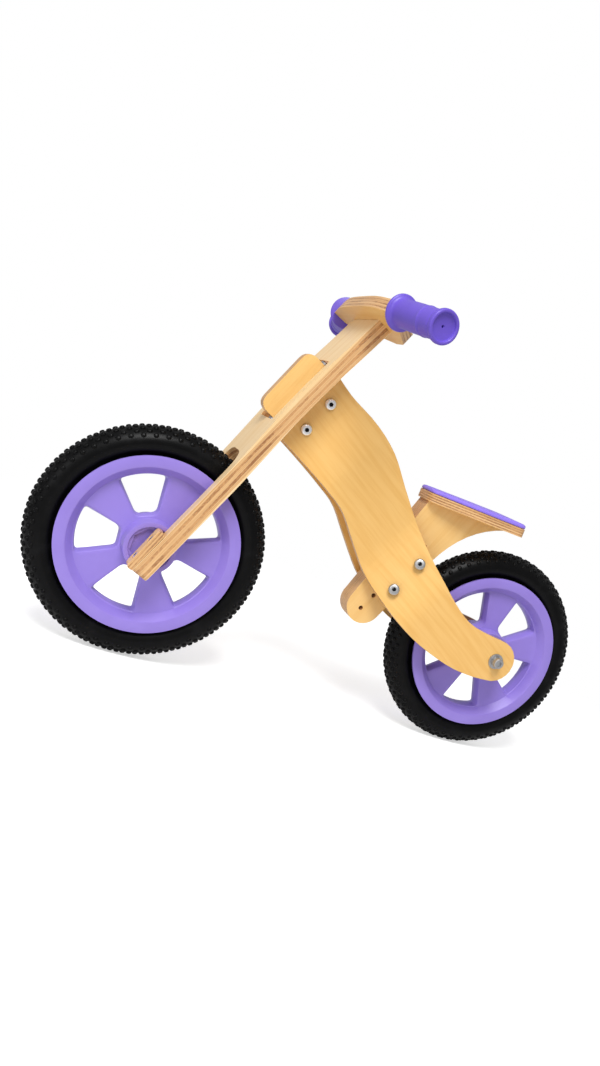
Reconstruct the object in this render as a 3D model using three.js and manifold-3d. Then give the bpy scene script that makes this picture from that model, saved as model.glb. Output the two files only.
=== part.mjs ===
// Child's balance bike in bent plywood with twelve-inch moulded wheels.
// Drawn with the rear axle at x = 0 and z = 0, forward +X, left +Y, up +Z, in millimetres,
// then moved so that both tyres stand on z = 0 with the bike centred over the origin.
import * as THREE from "three";
import Module from "manifold-3d";
import { mergeVertices } from "three/addons/utils/BufferGeometryUtils.js";

const wasm = await Module();
wasm.setup();

// ---- driving dimensions ----
const WHEELBASE = 512;
const TYRE_RADIUS = 152;
const TYRE_SECTION_RADIUS = 22.5;
const RIM_RADIUS = 115;
const RIM_HALF_WIDTH = 24.2;
const HEAD_TILT = THREE.MathUtils.degToRad(22.8);
const STEER_AXIS_BACK = 9.5;
const BOARD_THICKNESS = 21.5;
const BOARD_HALF_WIDTH = 56;
const BOARD_TOP = 412;
const SLOT_HALF_WIDTH = 36;
const PANEL_THICKNESS = 9;
const KNUCKLE_HALF = 9;
const SUPPORT_HALF = 17;
const AXLE_RADIUS = 4;
const BOLT_RADIUS = 3;
const GAP = 0.3;
const X_CENTRE = 256;

// ---- materials ----
const LOOKS = {
  birch: { color: 0xf2c78c, roughness: 0.5, metalness: 0 },
  purple: { color: 0x8f78e6, roughness: 0.4, metalness: 0 },
  grip: { color: 0x6a50d8, roughness: 0.55, metalness: 0 },
  pad: { color: 0x8a6cf0, roughness: 0.6, metalness: 0 },
  rubber: { color: 0x17171a, roughness: 0.8, metalness: 0 },
  steel: { color: 0xbfc4c8, roughness: 0.3, metalness: 1 },
};

function material(look) {
  return new THREE.MeshStandardMaterial(LOOKS[look]);
}

// ---- solid helpers ----
function solid(geometry) {
  const bare = geometry.clone();
  bare.deleteAttribute("normal");
  bare.deleteAttribute("uv");
  const welded = mergeVertices(bare, 1e-4);
  return new wasm.Manifold(new wasm.Mesh({
    numProp: 3,
    vertProperties: Float32Array.from(welded.attributes.position.array),
    triVerts: Uint32Array.from(welded.index.array),
  }));
}

function geometryOf(body) {
  const mesh = body.getMesh();
  const geometry = new THREE.BufferGeometry();
  geometry.setAttribute("position", new THREE.BufferAttribute(mesh.vertProperties, 3));
  geometry.setIndex(new THREE.BufferAttribute(mesh.triVerts, 1));
  return geometry;
}

function cut(body, ...tools) {
  return tools.reduce((left, tool) => left.subtract(tool), body);
}

function join(body, ...others) {
  return others.reduce((left, other) => left.add(other), body);
}

// A sheet drawn in X (forward) and Z (up), filling y from low to high.
function sheet(shape, low, high, segments = 6) {
  const geometry = new THREE.ExtrudeGeometry(shape, {
    depth: high - low, bevelEnabled: false, curveSegments: segments,
  });
  geometry.rotateX(Math.PI / 2);
  geometry.translate(0, high, 0);
  return solid(geometry);
}

// A turned body about the Y axis from a closed [radius, y] profile.
function turned(profile, segments = 16) {
  const points = [...profile, profile[0]].map(([r, y]) => new THREE.Vector2(r, y));
  const outward = THREE.ShapeUtils.area(points) > 0 ? points : points.reverse();
  return solid(new THREE.LatheGeometry(outward, segments));
}

function rod(radius, low, high, segments = 16) {
  const geometry = new THREE.CylinderGeometry(radius, radius, high - low, segments);
  geometry.translate(0, (low + high) / 2, 0);
  return solid(geometry);
}

function tube(inner, outer, low, high, segments = 16) {
  return cut(rod(outer, low, high, segments), rod(inner, low - 1, high + 1, segments));
}

function box(x, y, z, width, depth, height) {
  const geometry = new THREE.BoxGeometry(width, depth, height);
  geometry.translate(x, y, z);
  return solid(geometry);
}

function at(body, x, y, z) {
  return body.translate([x, y, z]);
}

function mirrored(body) {
  return body.mirror([0, 1, 0]);
}

// Angles in degrees about the X, Y and Z axes in turn.
function rotated(body, x, y, z) {
  return body.rotate([x, y, z]);
}

function roundedShape(corners, radius) {
  const shape = new THREE.Shape();
  const points = corners.map(([x, y]) => new THREE.Vector2(x, y));
  points.forEach((corner, i) => {
    const before = points[(i + points.length - 1) % points.length];
    const after = points[(i + 1) % points.length];
    const entry = corner.clone().lerp(before, radius / corner.distanceTo(before));
    const exit = corner.clone().lerp(after, radius / corner.distanceTo(after));
    if (i === 0) {
      shape.moveTo(entry.x, entry.y);
    } else {
      shape.lineTo(entry.x, entry.y);
    }
    shape.quadraticCurveTo(corner.x, corner.y, exit.x, exit.y);
  });
  shape.closePath();
  return shape;
}

function smoothstep(t) {
  const s = Math.min(1, Math.max(0, t));
  return s * s * (3 - 2 * s);
}

// The fork's own frame has +X forward, +Z up along the steering axis and the axle at its origin.
function forkPlaced(body) {
  return at(rotated(body, 0, -THREE.MathUtils.radToDeg(HEAD_TILT), 0), WHEELBASE, 0, 0);
}

// ---- screws ----
const HEX_CIRCUMRADIUS = 3.2;

function buttonHead(radius, height) {
  const dome = turned([[0.001, 0], [radius, 0], [radius, height * 0.4],
    [radius * 0.7, height], [0.001, height]]);
  return cut(dome, rod(HEX_CIRCUMRADIUS, height - 1.8, height + 1, 6));
}

// A bolt along Y with its head outside faceY on the left and its tip inside the cap nut.
// lean is the head's tilt in degrees, so that it sits square on a sloping panel.
function bolt(faceY, headRadius, lean) {
  const shank = rod(BOLT_RADIUS, -faceY - 1.6, faceY + 1, 12);
  const head = at(leaned(buttonHead(headRadius, 4.8), lean), 0, faceY + GAP, 0);
  return join(shank, head);
}

function capNut(faceY, headRadius, lean) {
  const head = at(leaned(buttonHead(headRadius, 4.8), lean), 0, faceY + GAP, 0);
  const bore = rod(BOLT_RADIUS + GAP, faceY - 8, faceY + 2, 12);
  return mirrored(cut(head, bore));
}

// ---- wheels ----
const WHEEL_SEGMENTS = 40;
const WINDOW_COUNT = 5;
const WINDOW_HALF_ANGLE = THREE.MathUtils.degToRad(22);
const WINDOW_INNER = 38;
const WINDOW_OUTER = 92;
const WINDOW_DRAFT = 3.5;
const WINDOW_CORNER = 7;
const DISC_HALF = 12;
const HUB_HALF = 35;
const HUB_RADIUS = 33;
const BEARING_RADIUS = 8.7;
const BEARING_FACE = 28;

function windowShape() {
  const outerTurn = WINDOW_CORNER / WINDOW_OUTER;
  const innerTurn = WINDOW_HALF_ANGLE - WINDOW_CORNER / WINDOW_INNER;
  const shape = new THREE.Shape();
  const polar = (r, a) => [r * Math.cos(a), r * Math.sin(a)];
  const reach = WINDOW_OUTER - WINDOW_CORNER;
  shape.moveTo(...polar(reach, -WINDOW_HALF_ANGLE));
  shape.quadraticCurveTo(...polar(WINDOW_OUTER, -WINDOW_HALF_ANGLE),
    ...polar(WINDOW_OUTER, -WINDOW_HALF_ANGLE + outerTurn));
  shape.absarc(0, 0, WINDOW_OUTER, -WINDOW_HALF_ANGLE + outerTurn,
    WINDOW_HALF_ANGLE - outerTurn);
  shape.quadraticCurveTo(...polar(WINDOW_OUTER, WINDOW_HALF_ANGLE),
    ...polar(reach, WINDOW_HALF_ANGLE));
  shape.lineTo(...polar(WINDOW_INNER + WINDOW_CORNER, WINDOW_HALF_ANGLE));
  shape.quadraticCurveTo(...polar(WINDOW_INNER, WINDOW_HALF_ANGLE),
    ...polar(WINDOW_INNER, innerTurn));
  shape.lineTo(...polar(WINDOW_INNER, -innerTurn));
  shape.quadraticCurveTo(...polar(WINDOW_INNER, -WINDOW_HALF_ANGLE),
    ...polar(WINDOW_INNER + WINDOW_CORNER, -WINDOW_HALF_ANGLE));
  return shape;
}

// A waisted plug: full size at both disc faces and narrower by the draft in the middle.
function windowPlug() {
  const depth = 1;
  const flare = DISC_HALF + 0.5;
  const geometry = new THREE.ExtrudeGeometry(windowShape(), {
    depth, bevelEnabled: true, bevelThickness: flare, bevelSize: -WINDOW_DRAFT,
    bevelSegments: 1, curveSegments: 3,
  });
  geometry.translate(0, 0, -depth / 2);
  geometry.rotateX(Math.PI / 2);
  return solid(geometry);
}

function rim(firstWindow) {
  const half = [[HUB_RADIUS - 6.5, HUB_HALF - 3], [HUB_RADIUS - 5.5, HUB_HALF],
    [HUB_RADIUS, HUB_HALF], [HUB_RADIUS + 1.5, DISC_HALF], [93, DISC_HALF],
    [101, RIM_HALF_WIDTH], [RIM_RADIUS, RIM_HALF_WIDTH], [RIM_RADIUS, 20.5], [105, 19]];
  const bore = BEARING_RADIUS + GAP;
  const lower = half.map(([r, y]) => [r, -y]).reverse();
  const body = turned([[bore, HUB_HALF - 3], ...half, ...lower,
    [bore, -HUB_HALF + 3]], WHEEL_SEGMENTS);
  const octagon = rotated(rod(25, BEARING_FACE, HUB_HALF, 8), 0, 22.5, 0);
  const plug = windowPlug();
  const windows = Array.from({ length: WINDOW_COUNT }, (_, k) => (
    rotated(plug, 0, -(firstWindow + k * 360 / WINDOW_COUNT), 0)
  ));
  return cut(body, octagon, mirrored(octagon), ...windows);
}

// The casing is round in section and its foot sits in the rim's well.
function tyre() {
  const ring = TYRE_RADIUS - TYRE_SECTION_RADIUS;
  const lip = RIM_RADIUS + GAP;
  const start = Math.asin((lip - ring) / TYRE_SECTION_RADIUS);
  const steps = 8;
  const round = Array.from({ length: steps + 1 }, (_, k) => {
    const a = start + (Math.PI - 2 * start) * k / steps;
    return [ring + TYRE_SECTION_RADIUS * Math.sin(a), TYRE_SECTION_RADIUS * Math.cos(a)];
  });
  return turned([...round, [107.5, -17], [105.4, -12], [105.4, 12], [107.5, 17]], WHEEL_SEGMENTS);
}

function bearing() {
  return tube(AXLE_RADIUS + 0.06, BEARING_RADIUS, BEARING_FACE - 5, BEARING_FACE, 24);
}

// ---- frame: bent side panels ----
const BEND_ANGLE = THREE.MathUtils.degToRad(30);
const PANEL_NOSE = 18;
const PANEL_WAIST = 27;
const PANEL_TAIL = 60;

// Outer face height of the bent sheet at distance s along its length, from tail to nose.
function panelOuter(s) {
  const tail = smoothstep((245 - s) / 110) * (PANEL_TAIL - PANEL_WAIST);
  const nose = smoothstep((s - 345) / 85) * (PANEL_WAIST - PANEL_NOSE);
  return PANEL_WAIST + tail - nose;
}

function panelSlope(s) {
  return (panelOuter(s + 1) - panelOuter(s - 1)) / 2;
}

// Its length runs up at the bend angle and its width lies square to that in the side view.
function bentBody(extra = 0) {
  const stations = [-60];
  for (let s = 130; s <= 250; s += 10) {
    stations.push(s);
  }
  for (let s = 340; s <= 430; s += 15) {
    stations.push(s);
  }
  stations.push(520);
  const face = (depth) => stations.map((s) => {
    const tilt = Math.atan(panelSlope(s));
    return new THREE.Vector2(s + depth * Math.sin(tilt), panelOuter(s) - depth * Math.cos(tilt));
  });
  const outline = [...face(-extra), ...face(PANEL_THICKNESS + extra).reverse()];
  const geometry = new THREE.ExtrudeGeometry(new THREE.Shape(outline), {
    depth: 900, bevelEnabled: false,
  });
  geometry.translate(0, 0, -450);
  return rotated(solid(geometry), 0, -THREE.MathUtils.radToDeg(BEND_ANGLE), 0);
}

const PANEL_FRONT_BACKSET = 29.5;

// A point in the side view given by its height along the steering axis and setback behind it.
function besideFork(up, back) {
  const [s, c] = [Math.sin(HEAD_TILT), Math.cos(HEAD_TILT)];
  return [WHEELBASE - up * s - back * c, up * c - back * s];
}

function panelOutline() {
  const top = besideFork(324, PANEL_FRONT_BACKSET);
  const low = besideFork(214, PANEL_FRONT_BACKSET);
  const vectors = (points) => points.map(([x, z]) => new THREE.Vector2(x, z));
  const shape = new THREE.Shape();
  shape.moveTo(...top);
  shape.splineThru(vectors([[333, 271], [291, 251], [252, 223], [219, 185], [180, 141],
    [142, 100], [94, 60], [55, 39], [0, 31]]));
  const endRadius = 31;
  for (let k = 1; k < 12; k += 1) {
    const a = Math.PI * (0.5 + k / 12);
    shape.lineTo(endRadius * Math.cos(a), endRadius * Math.sin(a));
  }
  shape.splineThru(vectors([[0, -31], [30, -32], [69, -27.5], [124, -11], [169, 11], [200, 32],
    [230, 56], [263, 93], [291, 125], [319, 143], [352, 161], low]));
  shape.closePath();
  return shape;
}

// ---- frame: seat support ----
const SUPPORT_HOLE_COUNT = 6;
const SUPPORT_HOLE_PITCH = [-11.2, 22.3];
const SUPPORT_HOLE_START = [210.6, 6.4];
const SEAT_BOLT_HOLES = [2, 4];
const SUPPORT_TOP = 180.4;

function supportHole(k) {
  return SUPPORT_HOLE_START.map((value, i) => value + SUPPORT_HOLE_PITCH[i] * k);
}

function supportOutline() {
  const shape = new THREE.Shape();
  const foot = [206.5, 11];
  const footRadius = 26;
  const lean = Math.atan2(-SUPPORT_HOLE_PITCH[0], SUPPORT_HOLE_PITCH[1]);
  shape.moveTo(44, SUPPORT_TOP);
  shape.quadraticCurveTo(106, 163, 137, 100);
  shape.absarc(...foot, footRadius, Math.PI + lean, Math.PI * 2 + lean);
  shape.lineTo(175, SUPPORT_TOP);
  shape.closePath();
  return shape;
}

function supportPlate() {
  const plate = sheet(supportOutline(), 0.15, SUPPORT_HALF, 8);
  const holes = Array.from({ length: SUPPORT_HOLE_COUNT }, (_, k) => {
    const [x, z] = supportHole(k);
    return at(rod(BOLT_RADIUS + GAP, -1, SUPPORT_HALF + 1, 12), x, 0, z);
  });
  return cut(plate, ...holes);
}

const SEAT_REAR = 29;
const SEAT_FRONT = 179;
const SEAT_BOARD = 12;

function seatOutline(inset) {
  const nose = 27 - inset;
  const tail = 50 - inset;
  return roundedShape([[SEAT_FRONT - inset, -nose], [SEAT_FRONT - inset, nose],
    [SEAT_REAR + 62, tail - 3], [SEAT_REAR + inset, tail], [SEAT_REAR + inset, -tail],
    [SEAT_REAR + 62, -tail + 3]], 14);
}

function seatSlab(inset, low, high) {
  const geometry = new THREE.ExtrudeGeometry(seatOutline(inset), {
    depth: high - low, bevelEnabled: false, curveSegments: 6,
  });
  geometry.translate(0, 0, low);
  return solid(geometry);
}

function seatPad() {
  const low = SUPPORT_TOP + GAP + SEAT_BOARD + GAP;
  const geometry = new THREE.ExtrudeGeometry(seatOutline(2.4), {
    depth: 2.2, bevelEnabled: true, bevelThickness: 2.2, bevelSize: 2, bevelSegments: 1,
    curveSegments: 5,
  });
  geometry.translate(0, 0, low + 2.2);
  return solid(geometry);
}

// ---- frame: steering knuckle ----
const KNUCKLE_LOW = 227;
const KNUCKLE_HIGH = 322;
const KNUCKLE_BOLTS = [[358, 251], [376, 209]];

function knuckleOutline() {
  return roundedShape([besideFork(KNUCKLE_LOW, -20.8), besideFork(KNUCKLE_HIGH, -20.8),
    besideFork(KNUCKLE_HIGH, 60), besideFork(KNUCKLE_LOW, 64)], 15);
}

function knuckle() {
  const plate = sheet(knuckleOutline(), -KNUCKLE_HALF + GAP, KNUCKLE_HALF - GAP, 5);
  const pivotHole = forkPlaced(upright(rod(PIVOT_RADIUS + 0.06, 100, 420, 24)));
  const boltHoles = KNUCKLE_BOLTS.map(([x, z]) => at(rod(BOLT_RADIUS + GAP, -20, 20, 12), x, 0, z));
  return cut(plate, pivotHole, ...boltHoles);
}

// ---- frame: bolts through both panels ----
const SEAT_BOLT_S = 190;
const SEAT_LEAN = THREE.MathUtils.radToDeg(Math.atan(panelSlope(SEAT_BOLT_S)));

// Tips a head from square-to-Y to square with the sloping panel beside the seat support.
function leaned(body, degrees) {
  if (!degrees) {
    return body;
  }
  const bend = THREE.MathUtils.radToDeg(BEND_ANGLE);
  return rotated(rotated(rotated(body, 0, bend, 0), 0, 0, degrees), 0, -bend, 0);
}

const KNUCKLE_BOLT_FACES = KNUCKLE_BOLTS.map(([x, z]) => panelOuter(alongPanel(x, z) - 8));
const SEAT_BOLTS = SEAT_BOLT_HOLES.map(supportHole);
const SEAT_BOLT_FACES = SEAT_BOLTS.map(([x, z]) => panelOuter(alongPanel(x, z)));

function alongPanel(x, z) {
  return x * Math.cos(BEND_ANGLE) + z * Math.sin(BEND_ANGLE);
}

function sidePanel() {
  const outline = sheet(panelOutline(), 0, 90, 3);
  const body = bentBody().intersect(outline);
  const bores = [...KNUCKLE_BOLTS, ...SEAT_BOLTS].map(([x, z]) => (
    at(rod(BOLT_RADIUS + GAP, 0, 90, 12), x, 0, z)
  ));
  return cut(body, ...bores, rod(AXLE_RADIUS + GAP, 0, 90, 20));
}

// Between the straight support and the sloping panel the sleeve's outer end is cut to the slope.
function seatSleeve([x, z]) {
  const sleeve = tube(BOLT_RADIUS + GAP, 7, SUPPORT_HALF + GAP, 50, 12);
  const beyond = bentBody(GAP);
  const placed = at(sleeve, x, 0, z);
  const cleared = placed.subtract(beyond).decompose();
  return cleared.reduce((low, piece) => (
    piece.boundingBox().min[1] < low.boundingBox().min[1] ? piece : low
  ));
}

// ---- fork ----
const FORK_LOW = -33;
const WHEEL_SLOT_TOP = 166;
const KNUCKLE_SLOT = [222, 326];
const CLAMP_LENGTH = 60;
const CLAMP_CENTRE = -3;
const CLAMP_DEPTH = 9.6;
const CLAMP_CORNER = 4.5;
const CLAMP_SCREWS = [-14, 14];
const PIVOT_RADIUS = 4;
const AXLE_REACH = 52;

// Front face of the bent board, forward of the steering line at height u.
function boardFront() {
  return new THREE.SplineCurve([[FORK_LOW, 2.4], [70, 0.3], [150, -0.5], [235, 1.2], [312, -0.7],
    [362, -4.1], [BOARD_TOP, -7]].map(([u, f]) => new THREE.Vector2(f, u)));
}

function boardFrontAt(u) {
  return boardFront().getPoints(60).reduce((near, point) => (
    Math.abs(point.y - u) < Math.abs(near.y - u) ? point : near
  )).x;
}

function boardProfile(extra) {
  const front = boardFront().getPoints(10);
  const back = front.map((p) => new THREE.Vector2(p.x - BOARD_THICKNESS - extra, p.y)).reverse();
  return new THREE.Shape([...front.map((p) => new THREE.Vector2(p.x + extra, p.y)), ...back]);
}

// A body standing along +Z instead of lying along +Y, moved back to the steering axis.
function upright(body) {
  return at(rotated(body, 90, 0, 0), -STEER_AXIS_BACK, 0, 0);
}

// The board's face is cut through with an upright rounded slot.
function boardSlot(low, high, round) {
  const w = SLOT_HALF_WIDTH;
  const shape = roundedShape([[-w, low], [w, low], [w, high], [-w, high]], round);
  const geometry = new THREE.ExtrudeGeometry(shape, {
    depth: 80, bevelEnabled: false, curveSegments: 6,
  });
  geometry.rotateX(Math.PI / 2);
  geometry.rotateZ(Math.PI / 2);
  geometry.translate(-60, 0, 0);
  return solid(geometry);
}

function boardSilhouette() {
  const w = BOARD_HALF_WIDTH;
  const shape = roundedShape([[-w, FORK_LOW], [w, FORK_LOW], [w, BOARD_TOP], [-w, BOARD_TOP]], 8);
  const geometry = new THREE.ExtrudeGeometry(shape, {
    depth: 80, bevelEnabled: false, curveSegments: 5,
  });
  geometry.rotateX(Math.PI / 2);
  geometry.rotateZ(Math.PI / 2);
  geometry.translate(-60, 0, 0);
  return solid(geometry);
}

function screwCentre(side, offset) {
  const across = (SLOT_HALF_WIDTH + BOARD_HALF_WIDTH) / 2;
  return [side * across, CLAMP_CENTRE + offset];
}

// A wood screw lying along X with its head towards the front.
function clampScrew(side, offset) {
  const [y, u] = screwCentre(side, offset);
  const face = clampFront(u);
  const stem = rod(2, face - 20, face - 3, 10);
  const head = at(buttonHead(5, 2.6), 0, face - 3.4, 0);
  return at(rotated(join(stem, head), 0, 0, -90), 0, y, u);
}

function clampFront(u) {
  return boardFrontAt(u) + GAP + CLAMP_DEPTH;
}

function screwBores(side, margin) {
  return CLAMP_SCREWS.map((offset) => {
    const [y, u] = screwCentre(side, offset);
    const face = clampFront(u);
    const stem = rod(2 + margin, face - 20 - margin, face, 10);
    const seat = rod(5 + margin + 0.2, face - 3.4 - margin, face + 4, 16);
    return at(rotated(join(stem, seat), 0, 0, -90), 0, y, u);
  });
}

function forkBoard() {
  const body = sheet(boardProfile(0), -BOARD_HALF_WIDTH, BOARD_HALF_WIDTH).intersect(boardSilhouette());
  const wheelSlot = boardSlot(FORK_LOW - 60, WHEEL_SLOT_TOP, 24);
  const knuckleSlot = boardSlot(...KNUCKLE_SLOT, 5);
  const pivotBore = upright(rod(PIVOT_RADIUS + GAP, WHEEL_SLOT_TOP - 8, 373, 16));
  const axleBore = rod(AXLE_RADIUS + GAP, -AXLE_REACH - GAP, AXLE_REACH + GAP, 16);
  return cut(body, wheelSlot, knuckleSlot, pivotBore, axleBore, ...screwBores(-1, GAP),
    ...screwBores(1, GAP));
}

function clampBlock(side) {
  const low = CLAMP_CENTRE - CLAMP_LENGTH / 2;
  const mid = boardFrontAt(CLAMP_CENTRE);
  const shape = roundedShape([[mid + GAP, low], [mid + GAP + CLAMP_DEPTH, low],
    [mid + GAP + CLAMP_DEPTH, low + CLAMP_LENGTH], [mid + GAP, low + CLAMP_LENGTH]],
  CLAMP_CORNER);
  const inner = SLOT_HALF_WIDTH;
  const [from, to] = side > 0 ? [inner, BOARD_HALF_WIDTH] : [-BOARD_HALF_WIDTH, -inner];
  const board = sheet(boardProfile(GAP), -BOARD_HALF_WIDTH - 5, BOARD_HALF_WIDTH + 5);
  const axleBore = rod(AXLE_RADIUS + GAP, -AXLE_REACH - GAP, AXLE_REACH + GAP, 16);
  return cut(sheet(shape, from, to, 4), board, axleBore, ...screwBores(side, GAP));
}

// ---- handlebar ----
const YOKE_LOW = 404;
const YOKE_THICKNESS = 18;
const BAR_ROOT = [-5.6, 115, 415.5];
const BAR_SWEEP = 15.4;
const BAR_RISE = 2;
const BAR_RADIUS = 6;
const BAR_LENGTH = 112;
const GRIP_LENGTH = 95;

function yoke() {
  const half = [[0, 17], [62, 15.5], [117.6, 7]];
  const rear = [[112.6, -12], [97, -24], [64, -48.5], [40, -48], [0, -38]];
  const shape = new THREE.Shape();
  shape.moveTo(half[2][1], -half[2][0]);
  shape.splineThru([[15.5, -62], [17, 0], [15.5, 62], [7, 117.6]].map(([x, y]) => new THREE.Vector2(x, y)));
  rear.forEach(([y, x]) => shape.lineTo(x, y));
  rear.slice(0, -1).reverse().forEach(([y, x]) => shape.lineTo(x, -y));
  shape.closePath();
  const geometry = new THREE.ExtrudeGeometry(shape, {
    depth: YOKE_THICKNESS, bevelEnabled: false, curveSegments: 6,
  });
  geometry.translate(0, 0, YOKE_LOW);
  const board = sheet(boardProfile(GAP), -BOARD_HALF_WIDTH - GAP, BOARD_HALF_WIDTH + GAP);
  const housing = join(board, at(board, 0, 0, GAP));
  return cut(solid(geometry), housing, barPlaced(rod(BAR_RADIUS + GAP, -31, 20, 16)),
    mirrored(barPlaced(rod(BAR_RADIUS + GAP, -31, 20, 16))));
}

// Moves a body drawn outwards along +Y from the bar's root onto the left bar end.
function barPlaced(body) {
  return at(rotated(body, BAR_RISE, 0, BAR_SWEEP), ...BAR_ROOT);
}

function barCore() {
  return barPlaced(rod(BAR_RADIUS, -30, BAR_LENGTH - 30, 16));
}

function grip() {
  const profile = [[BAR_RADIUS + GAP, 0], [22.5, 0], [22.5, 3.6], [17.8, 9], [17.8, 48],
    [16.6, 86], [20.5, 88.5], [20.5, 93], [19, GRIP_LENGTH], [14, GRIP_LENGTH - 1.4],
    [0.001, GRIP_LENGTH - 1.4], [0.001, 83.5], [BAR_RADIUS + GAP, 83.5]];
  return barPlaced(turned(profile, 22));
}

// ---- assembly ----
const bike = new THREE.Group();
bike.name = "balance_bike";

function add(name, look, body) {
  const placed = at(body, -X_CENTRE, 0, TYRE_RADIUS);
  const mesh = new THREE.Mesh(geometryOf(placed), material(look));
  mesh.name = name;
  bike.add(mesh);
}

function addPair(name, look, left, right = mirrored(left)) {
  add(`${name}_left`, look, left);
  add(`${name}_right`, look, right);
}

function addWheel(prefix, x, firstWindow) {
  add(`${prefix}_tyre`, "rubber", at(tyre(), x, 0, 0));
  add(`${prefix}_rim`, "purple", at(rim(firstWindow), x, 0, 0));
  addPair(`${prefix}_bearing`, "steel", at(bearing(), x, 0, 0));
}

function addFrame() {
  addPair("side_panel", "birch", sidePanel());
  add("steering_knuckle", "birch", knuckle());
  KNUCKLE_BOLTS.forEach(([x, z], i) => {
    add(`knuckle_bolt_${i + 1}`, "steel", at(bolt(KNUCKLE_BOLT_FACES[i], 7.5, 0), x, 0, z));
    add(`knuckle_nut_${i + 1}`, "steel", at(capNut(KNUCKLE_BOLT_FACES[i], 7.5, 0), x, 0, z));
  });
  addPair("seat_support", "birch", supportPlate());
  SEAT_BOLTS.forEach(([x, z], i) => {
    add(`seat_bolt_${i + 1}`, "steel", at(bolt(SEAT_BOLT_FACES[i], 8, SEAT_LEAN), x, 0, z));
    add(`seat_nut_${i + 1}`, "steel", at(capNut(SEAT_BOLT_FACES[i], 8, SEAT_LEAN), x, 0, z));
    addPair(`seat_sleeve_${i + 1}`, "steel", seatSleeve([x, z]));
  });
  const boardLow = SUPPORT_TOP + GAP;
  add("seat_board", "birch", seatSlab(0, boardLow, boardLow + SEAT_BOARD));
  add("seat_pad", "pad", seatPad());
}

function addRearAxle() {
  const inner = PANEL_TAIL - PANEL_THICKNESS;
  add("rear_axle", "steel", rod(AXLE_RADIUS, -68, 68, 24));
  addPair("rear_spacer", "steel", tube(AXLE_RADIUS + GAP, 7, BEARING_FACE + GAP, inner - GAP));
  addPair("rear_washer", "steel", tube(AXLE_RADIUS + GAP, 11.5, PANEL_TAIL + GAP, PANEL_TAIL + 2));
  const cap = turned([[0.001, 62.3], [7.5, 62.3], [7.5, 72.5], [6.5, 74], [0.001, 74]]);
  const bore = rod(AXLE_RADIUS + GAP, 60, 68.6, 16);
  addPair("rear_cap", "steel", cut(cap, bore, rod(HEX_CIRCUMRADIUS + 0.6, 71, 80, 6)));
}

function addFork() {
  const place = (body) => forkPlaced(body);
  add("fork_board", "birch", place(forkBoard()));
  addPair("clamp_block", "birch", place(clampBlock(1)), place(clampBlock(-1)));
  CLAMP_SCREWS.forEach((offset, i) => {
    addPair(`clamp_screw_${i + 1}`, "steel", place(clampScrew(1, offset)),
      place(clampScrew(-1, offset)));
  });
  add("front_axle", "steel", place(rod(AXLE_RADIUS, -AXLE_REACH, AXLE_REACH, 24)));
  addPair("front_spacer", "steel",
    place(tube(AXLE_RADIUS + GAP, 7, BEARING_FACE + GAP, SLOT_HALF_WIDTH - GAP)));
  const [low, high] = KNUCKLE_SLOT;
  const washer = (from, to) => place(upright(tube(PIVOT_RADIUS + GAP, 7.5, from, to)));
  add("pivot_rod", "steel", place(upright(rod(PIVOT_RADIUS, WHEEL_SLOT_TOP + 4, 372, 24))));
  add("pivot_washer_lower", "steel", washer(low + GAP, KNUCKLE_LOW - GAP));
  add("pivot_washer_upper", "steel", washer(KNUCKLE_HIGH + GAP, high - GAP));
  add("handlebar_yoke", "birch", place(yoke()));
  addPair("bar_core", "steel", place(barCore()), place(mirrored(barCore())));
  addPair("grip", "grip", place(grip()), place(mirrored(grip())));
}

addFrame();
addRearAxle();
addFork();
addWheel("rear", 0, 54);
addWheel("front", WHEELBASE, -5);

export default bike;
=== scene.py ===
"""Balance bike: bent plywood frame and fork, moulded wheels, knobbly tyres and a padded seat."""
import math

import bmesh
import bpy
from mathutils import Euler, Matrix, Vector


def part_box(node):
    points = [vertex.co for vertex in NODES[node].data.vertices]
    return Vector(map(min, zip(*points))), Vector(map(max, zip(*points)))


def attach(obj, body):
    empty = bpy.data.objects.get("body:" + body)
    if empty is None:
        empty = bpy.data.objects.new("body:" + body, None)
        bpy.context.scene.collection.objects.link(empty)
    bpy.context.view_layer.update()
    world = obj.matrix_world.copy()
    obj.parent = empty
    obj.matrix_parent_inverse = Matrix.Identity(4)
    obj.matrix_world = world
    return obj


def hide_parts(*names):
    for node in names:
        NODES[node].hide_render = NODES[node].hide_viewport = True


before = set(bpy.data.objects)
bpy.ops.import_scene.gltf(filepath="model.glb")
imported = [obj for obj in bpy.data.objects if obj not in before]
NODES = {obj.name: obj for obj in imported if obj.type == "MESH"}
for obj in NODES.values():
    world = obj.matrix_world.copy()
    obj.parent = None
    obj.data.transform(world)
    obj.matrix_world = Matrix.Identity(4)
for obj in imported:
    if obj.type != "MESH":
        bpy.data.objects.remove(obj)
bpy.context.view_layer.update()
MM = 0.001

# ---- dimensions shared with the CAD model, in metres ----
AXLE_HEIGHT = 0.152
FRONT_AXLE = Vector((0.256, 0.0, AXLE_HEIGHT))
REAR_AXLE = Vector((-0.256, 0.0, AXLE_HEIGHT))
HEAD_TILT = math.radians(22.8)
BEND_ANGLE = math.radians(30)
PANEL_THICKNESS = 0.009
BOARD_THICKNESS = 0.0215
KNUCKLE_THICKNESS = 0.0174
SUPPORT_THICKNESS = 0.0169
SUPPORT_GAP = 0.00015  # from the bike's middle to each seat support
SEAT_BOARD_THICKNESS = 0.012
SEAT_BOARD_UNDERSIDE = 0.3327
YOKE_THICKNESS = 0.018
YOKE_UNDERSIDE = 0.404  # up from the front axle, in the fork's own frame
CLAMP_THICKNESS = 0.0100
CLAMP_FACE = 0.0117  # forward of the front axle in the fork's frame, just ahead of the block
CLAMP_STANDOFF = 0.0099  # forward of the board's front
SEAT_BOLTS_ALONG = 190  # mm along the bent panel, halfway between the two seat bolts
BAR_ROOT = Vector((-0.0056, 0.115, 0.4155))
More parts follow.
